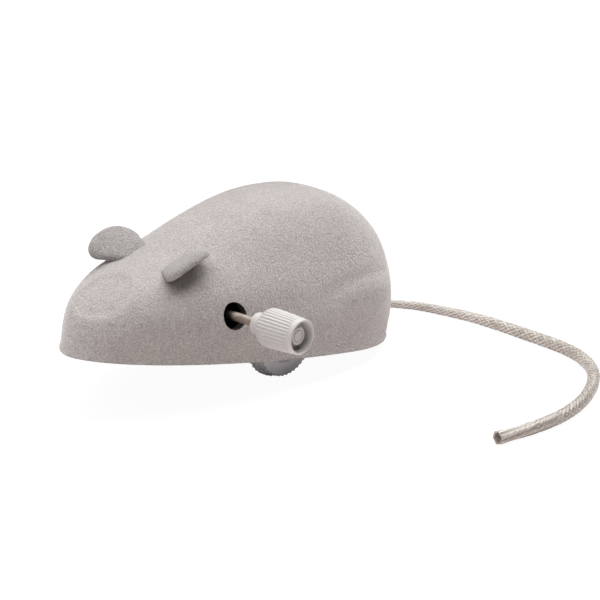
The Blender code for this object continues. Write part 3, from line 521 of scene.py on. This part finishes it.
def between(values, level):
    """Smooth monotone interpolation of one column of the body table at a level in degrees."""
    x, y = LEVELS_DEG, values
    k = max(i for i in range(len(x) - 1) if x[i] <= level + 1e-9)
    h = [x[i + 1] - x[i] for i in range(len(x) - 1)]
    d = [(y[i + 1] - y[i]) / h[i] for i in range(len(x) - 1)]

    def slope(i):
        if i == 0:
            return d[0]
        if i == len(x) - 1:
            return d[-1]
        if d[i - 1] * d[i] <= 0:
            return 0.0
        w1, w2 = 2 * h[i] + h[i - 1], h[i] + 2 * h[i - 1]
        return (w1 + w2) / (w1 / d[i - 1] + w2 / d[i])

    t = (level - x[k]) / h[k]
    return ((1 + 2 * t) * (1 - t) ** 2 * y[k] + t * (1 - t) ** 2 * h[k] * slope(k)
            + t * t * (3 - 2 * t) * y[k + 1] - t * t * (1 - t) * h[k] * slope(k + 1))


def body_level(level):
    tables = {"front": FRONT_X, "rear": REAR_X, "wide": HALF_WIDTH, "mid": WIDEST_X,
              "nose": NOSE_POWER, "rump": RUMP_POWER}
    values = {name: between(table, level) for name, table in tables.items()}
    return values | {"z": BODY_HEIGHT * math.sin(math.radians(level))}


def body_point(lv, around):
    c, s = math.cos(around), math.sin(around)
    power = lv["nose"] if c < 0 else lv["rump"]
    reach = (lv["mid"] - lv["front"]) if c < 0 else (lv["rear"] - lv["mid"])
    x = lv["mid"] + reach * math.copysign(abs(c) ** (2 / power), c)
    y = lv["wide"] * math.copysign(abs(s) ** (2 / power), s)
    hx, hz, length, height, swell = HAUNCH
    out = swell * math.exp(-((x - hx) / length) ** 2 - ((lv["z"] - hz) / height) ** 2) * abs(s) ** 1.5
    return Vector((x + 0.35 * out, y + math.copysign(out, s), lv["z"]))


def snout_dent(p):
    """Depth in millimetres of the snout's shallow round recess: a soft step at its rim, flat inside."""
    tilt = math.radians(SNOUT_SPOT_TILT_DEG)
    normal = Vector((-math.sin(tilt), 0, math.cos(tilt)))
    off = p - SNOUT_SPOT
    along = off.dot(normal)
    flat = (off - normal * along).length
    if abs(along) > 4:
        return 0.0
    inside = 0.30 * (1 - ease((flat - (SNOUT_SPOT_RADIUS - 0.9)) / 1.5))
    lip = 0.07 * math.exp(-((flat - SNOUT_SPOT_RADIUS - 0.9) / 0.8) ** 2)
    return inside - lip


def haunch_fold(p):
    """Depth in millimetres of the crease over each haunch, and, negative, of the soft bulge below it."""
    if p.x < 3.0 or p.x > 33.0:
        return 0.0
    crest = 13.0 - 7.4 * math.exp(-(p.x - 4.5) / 5.0)
    fade = ease((p.x - 4.0) / 6.0) * (1 - ease((p.x - 24.0) / 8.0)) * ease((abs(p.y) - 8) / 4)
    off = (p.z - crest) * (0.65 + 0.35 * ease((p.x - 7.0) / 8.0))
    crease = 0.24 * math.exp(-((off - 0.4) / 1.2) ** 2)
    bulge = 0.26 * math.exp(-((off + 2.2) / 1.9) ** 2)
    return fade * (crease - bulge)


def flock_relief(p):
    """The flock's own unevenness, in millimetres."""
    return 0.045 * noise.noise(p * 1.1) + 0.03 * noise.noise(p * 2.3)


BODY_COLUMNS, BODY_ROWS, TOP_LEVEL = 420, 150, 88.0
DENSE = 900                                # samples of a level before it is spaced evenly


def make_body():
    """The flocked skin and the bare inner skin, a rolled hem between them, and the two holes."""
    levels = [TOP_LEVEL * (r / (BODY_ROWS - 1)) for r in range(BODY_ROWS)]
    rings = []
    for level in levels:
        lv = body_level(level)
        dense = [body_point(lv, math.tau * k / DENSE) for k in range(DENSE)]
        steps = [(dense[(k + 1) % DENSE] - dense[k]).length for k in range(DENSE)]
        run = np.concatenate([[0.0], np.cumsum(steps)])
        ring = []
        for c in range(BODY_COLUMNS):
            want = run[-1] * c / BODY_COLUMNS
            k = int(np.searchsorted(run, want, side="right") - 1)
            ring.append(dense[k].lerp(dense[(k + 1) % DENSE], (want - run[k]) / max(steps[k], 1e-9)))
        rings.append(ring)
    grid = np.array([[tuple(p) for p in ring] for ring in rings])
    across = np.roll(grid, -1, axis=1) - np.roll(grid, 1, axis=1)
    upward = np.gradient(grid, axis=0)
    normals = np.cross(across, upward)
    normals /= np.linalg.norm(normals, axis=2, keepdims=True) + 1e-12
    outer, inner = [], []
    for r in range(BODY_ROWS):
        for c in range(BODY_COLUMNS):
            p, n = Vector(grid[r, c]), Vector(normals[r, c])
            d = -snout_dent(p) - haunch_fold(p) + flock_relief(p)
            hem = 0.17 * math.exp(-((p.z - 0.25) / 0.34) ** 2)
            outer.append(p + n * (d + hem))
            inner.append(p - n * WALL)
    crown, inner_crown = (Vector((FRONT_X[-1], 0, z)) for z in (BODY_HEIGHT, BODY_HEIGHT - WALL))
    verts = outer + [crown] + inner + [inner_crown]
    count = BODY_ROWS * BODY_COLUMNS
    faces = grid_faces(BODY_ROWS, BODY_COLUMNS)
    ring = (BODY_ROWS - 1) * BODY_COLUMNS
    faces += [(ring + c, ring + (c + 1) % BODY_COLUMNS, count) for c in range(BODY_COLUMNS)]
    flipped = [tuple(i + count + 1 for i in reversed(f)) for f in faces]
    # the rolled lower edge that joins the two skins
    roll = []
    for lift, share in ((-0.02, 0.22), (-0.03, 0.5), (-0.02, 0.78)):
        first = 2 * (count + 1) + len(roll)
        for c in range(BODY_COLUMNS):
            a, b = outer[c], inner[c]
            p = a.lerp(b, share)
            roll.append(Vector((p.x, p.y, lift)))
    loops = [list(range(BODY_COLUMNS))]
    loops += [[2 * (count + 1) + j * BODY_COLUMNS + c for c in range(BODY_COLUMNS)] for j in range(3)]
    loops += [[count + 1 + c for c in range(BODY_COLUMNS)]]
    skirt = []
    for a, b in zip(loops, loops[1:]):
        skirt += [(a[(c + 1) % BODY_COLUMNS], a[c], b[c], b[(c + 1) % BODY_COLUMNS])
                  for c in range(BODY_COLUMNS)]
    verts = [PLACE @ v for v in verts + roll]
    ob = mesh_object("body_flocked", verts, faces + flipped + skirt, FLOCK)
    ob.data.materials.append(INSIDE)
    kinds = [0] * len(faces) + [1] * len(flipped) + [0] * len(skirt)
    ob.data.polygons.foreach_set("material_index", kinds)
    cutters = []
    for name, radius, spot, axis in (("shaft", SHAFT_HOLE_RADIUS, (SHAFT_AXIS[0], -15, SHAFT_AXIS[1]), "X"),
                                     ("tail", TAIL_HOLE_RADIUS, (BODY_HALF_LENGTH, 0, TAIL_HEIGHT), "Y")):
        bm = bmesh.new()
        bmesh.ops.create_cone(bm, cap_ends=True, segments=72, radius1=radius, radius2=radius, depth=14,
                              matrix=PLACE @ Matrix.Translation(spot) @ Matrix.Rotation(math.pi / 2, 4, axis))
        me = bpy.data.meshes.new("cut_" + name)
        bm.to_mesh(me)
        bm.free()
        me.materials.append(INSIDE)
        cut = bpy.data.objects.new("cut_" + name, me)
        scene.collection.objects.link(cut)
        mod = ob.modifiers.new("cut", "BOOLEAN")
        mod.operation, mod.solver, mod.object = "DIFFERENCE", "EXACT", cut
        mod.material_mode = "TRANSFER"
        cutters.append(cut)
    baked(ob)
    for cut in cutters:
        bpy.data.objects.remove(cut, do_unlink=True)
    ob.data.set_sharp_from_angle(angle=math.radians(50))
    return ob


body = make_body()
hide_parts("body_shell")
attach(body, "body")


# ------------------------------------------------------------------ ears
EAR_ROOT = (-19.2, 5.6, 15.7)
EAR_ALONG = Vector((0.922, 0.0, 0.388)).normalized()
# the flap's outline, along the head and outward from its root, millimetres
EAR_OUTLINE = ((-2.8, -1.4), (0.2, -1.8), (3.0, -1.4), (3.6, 0.6), (4.4, 2.2), (4.5, 3.8), (3.3, 5.6),
               (0.9, 6.5), (-1.9, 6.5), (-4.1, 5.7), (-5.3, 4.4), (-5.4, 3.0), (-4.7, 1.6), (-3.7, 0.0))
EAR_CENTRE, EAR_COLUMNS, EAR_THICK = (-0.4, 2.6), 84, 1.7


def smooth_ring(points, count):
    """A closed Catmull-Rom curve through flat points, as count points."""
    out = []
    for k in range(count):
        u = len(points) * k / count
        j, t = int(u), u - int(u)
        p = [Vector(points[(j + d) % len(points)]) for d in (-1, 0, 1, 2)]
        out.append(0.5 * (2 * p[1] + (p[2] - p[0]) * t + (2 * p[0] - 5 * p[1] + 4 * p[2] - p[3]) * t * t
                          + (3 * p[1] - p[0] - 3 * p[2] + p[3]) * t ** 3))
    return out


def make_ear(side, tag):
    """A rounded, slightly cupped flap with a soft fat edge; side is -1 on the knob's side."""
    out = Vector((-0.25, 0.88 * side, 0.38)).normalized()
    face = EAR_ALONG.cross(out).normalized() * -side
    root = Vector((EAR_ROOT[0], EAR_ROOT[1] * side, EAR_ROOT[2]))
    verts = []
    outline = smooth_ring(EAR_OUTLINE, EAR_COLUMNS)
    centre_s, centre_q = EAR_CENTRE
    profile = [(0.0, 0.5), (0.3, 0.5), (0.5, 0.5), (0.68, 0.49), (0.80, 0.46), (0.89, 0.39), (0.955, 0.27),
               (0.99, 0.13), (1.0, 0.0)]
    full = profile + [(f, -h) for f, h in reversed(profile[:-1])]
    for f, h in full:
        for s, q in outline:
            s, q = centre_s + (s - centre_s) * f, centre_q + (q - centre_q) * f
            cup = 0.75 * ((s - centre_s) / 5) ** 2 * min(max(q / 3, 0), 1)
            cup += 0.30 * max((q - 3.2) / 3.5, 0) ** 2
            dish = 0.22 * (1 - min(f, 1.0) ** 2) if h > 0 else 0.0
            p = root + EAR_ALONG * s + out * q + face * (cup + (h * EAR_THICK - dish))
            p += face * 0.06 * noise.noise(p * 0.8)
            verts.append(PLACE @ p)
    faces = grid_faces(len(full), EAR_COLUMNS)
    ob = mesh_object("ear_flock_" + tag, verts, faces, EAR)
    bm = bmesh.new()
    bm.from_mesh(ob.data)
    bmesh.ops.remove_doubles(bm, verts=bm.verts, dist=1e-7)
    bmesh.ops.recalc_face_normals(bm, faces=bm.faces)
    bm.to_mesh(ob.data)
    bm.free()
    ob.data.shade_smooth()
    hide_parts("ear_" + tag)
    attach(ob, "body")
    return ob


make_ear(-1, "left")
make_ear(1, "right")


# ------------------------------------------------------------------ winding knob
KNOB_START, KNOB_END = -20.3, -30.65
KNOB_WIDE_RADIUS, KNOB_RIM_RADIUS = 3.42, 3.12
KNOB_RIBS, KNOB_RIB_HEIGHT, KNOB_COLUMNS = 34, 0.15, 408
KNOB_RECESS_DEPTH = 2.2
KNOB_HUB_RADIUS, KNOB_HUB_SINK = 1.6, 0.9


def turned(name, rings, centre, columns, mat):
    """A closed band of rings round an axis along Y; a ring is (y, radius, rib height) in millimetres."""
    verts = []
    for y, radius, rib in rings:
        for c in range(columns):
            a = math.tau * c / columns
            wave = 0.5 + 0.5 * math.cos(a * KNOB_RIBS)
            r = radius - rib * (1 - wave) ** 1.4
            verts.append(at(centre[0] + r * math.cos(a), y, centre[1] + r * math.sin(a)))
    faces = grid_faces(len(rings), columns)
    last = (len(rings) - 1) * columns
    faces += [(last + c, last + (c + 1) % columns, (c + 1) % columns, c) for c in range(columns)]
    ob = mesh_object(name, verts, faces, mat)
    bm = bmesh.new()
    bm.from_mesh(ob.data)
    bmesh.ops.recalc_face_normals(bm, faces=bm.faces)
    bm.to_mesh(ob.data)
    bm.free()
    ob.data.shade_smooth()
    ob.data.set_sharp_from_angle(angle=math.radians(38))
    return ob


W, R, E = KNOB_WIDE_RADIUS, KNOB_RIM_RADIUS, KNOB_END
H = KNOB_END + KNOB_HUB_SINK
# neck and shoulder, barrel, rim, recess, hub with its groove, cap over the shaft's end
rings = [(KNOB_START, 0.84, 0), (KNOB_START, 1.70, 0), (KNOB_START - 0.08, 1.86, 0),
         (KNOB_START - 0.3, 1.95, 0), (KNOB_START - 1.0, 2.02, 0), (KNOB_START - 1.7, 2.16, 0),
         (KNOB_START - 2.0, 2.32, 0), (KNOB_START - 2.2, 2.62, 0), (KNOB_START - 2.45, 3.0, 0.05),
         (KNOB_START - 2.7, 3.22, 0.12), (KNOB_START - 3.05, 3.36, KNOB_RIB_HEIGHT),
         (KNOB_START - 3.6, W, KNOB_RIB_HEIGHT)]
rings += [(KNOB_START - 3.6 + (E + 1.2 - KNOB_START + 3.6) * k / 6, W + (R + 0.04 - W) * (k / 6) ** 1.5,
           KNOB_RIB_HEIGHT) for k in range(1, 7)]
rings += [(E + 1.0, R + 0.03, 0.06), (E + 0.92, R + 0.015, 0), (E + 0.5, R, 0), (E + 0.25, R - 0.03, 0),
          (E + 0.1, R - 0.09, 0), (E + 0.02, R - 0.18, 0), (E, R - 0.26, 0), (E + 0.02, 2.78, 0),
          (E + 0.14, 2.68, 0), (E + 0.5, 2.62, 0), (E + 1.4, 2.56, 0),
          (E + KNOB_RECESS_DEPTH - 0.15, 2.50, 0), (E + KNOB_RECESS_DEPTH, 2.38, 0),
          (E + KNOB_RECESS_DEPTH, 1.76, 0), (E + KNOB_RECESS_DEPTH - 0.1, 1.66, 0),
          (H + 0.14, KNOB_HUB_RADIUS, 0), (H + 0.04, KNOB_HUB_RADIUS - 0.05, 0),
          (H, KNOB_HUB_RADIUS - 0.14, 0), (H, 1.18, 0), (H + 0.14, 1.13, 0), (H + 0.18, 1.05, 0),
          (H + 0.14, 0.97, 0), (H, 0.92, 0), (H, 0.02, 0), (H + 0.04, 0.02, 0), (H + 0.04, 0.84, 0)]
knob = turned("knob_ribbed", rings, SHAFT_AXIS, KNOB_COLUMNS, KNOB)
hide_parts("winding_knob")
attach(knob, "winder")


# ------------------------------------------------------------------ finishes on the CAD's own nodes
FINISHES = {PLATE: ("base_plate",), CASE: ("motor_case_left", "motor_case_right"),
            SHAFT: ("winding_shaft",), BRASS: ("main_gear", "axle_pinion"), SPRING: ("mainspring",),
            NYLON: ("second_gear", "third_gear"), WHEEL: ("wheel_left", "wheel_right"),
            TYRE: ("tyre_left", "tyre_right"), tail.data.materials[0]: ("tail_knot",),
            STEEL: ("drive_axle", "base_screw_1", "base_screw_2", "base_screw_3", "motor_screw_1",
                    "motor_screw_2", "case_screw_1", "case_screw_2")}
for mat, names in FINISHES.items():
    for name in names:
        bpy.data.objects[name].material_slots[0].material = mat
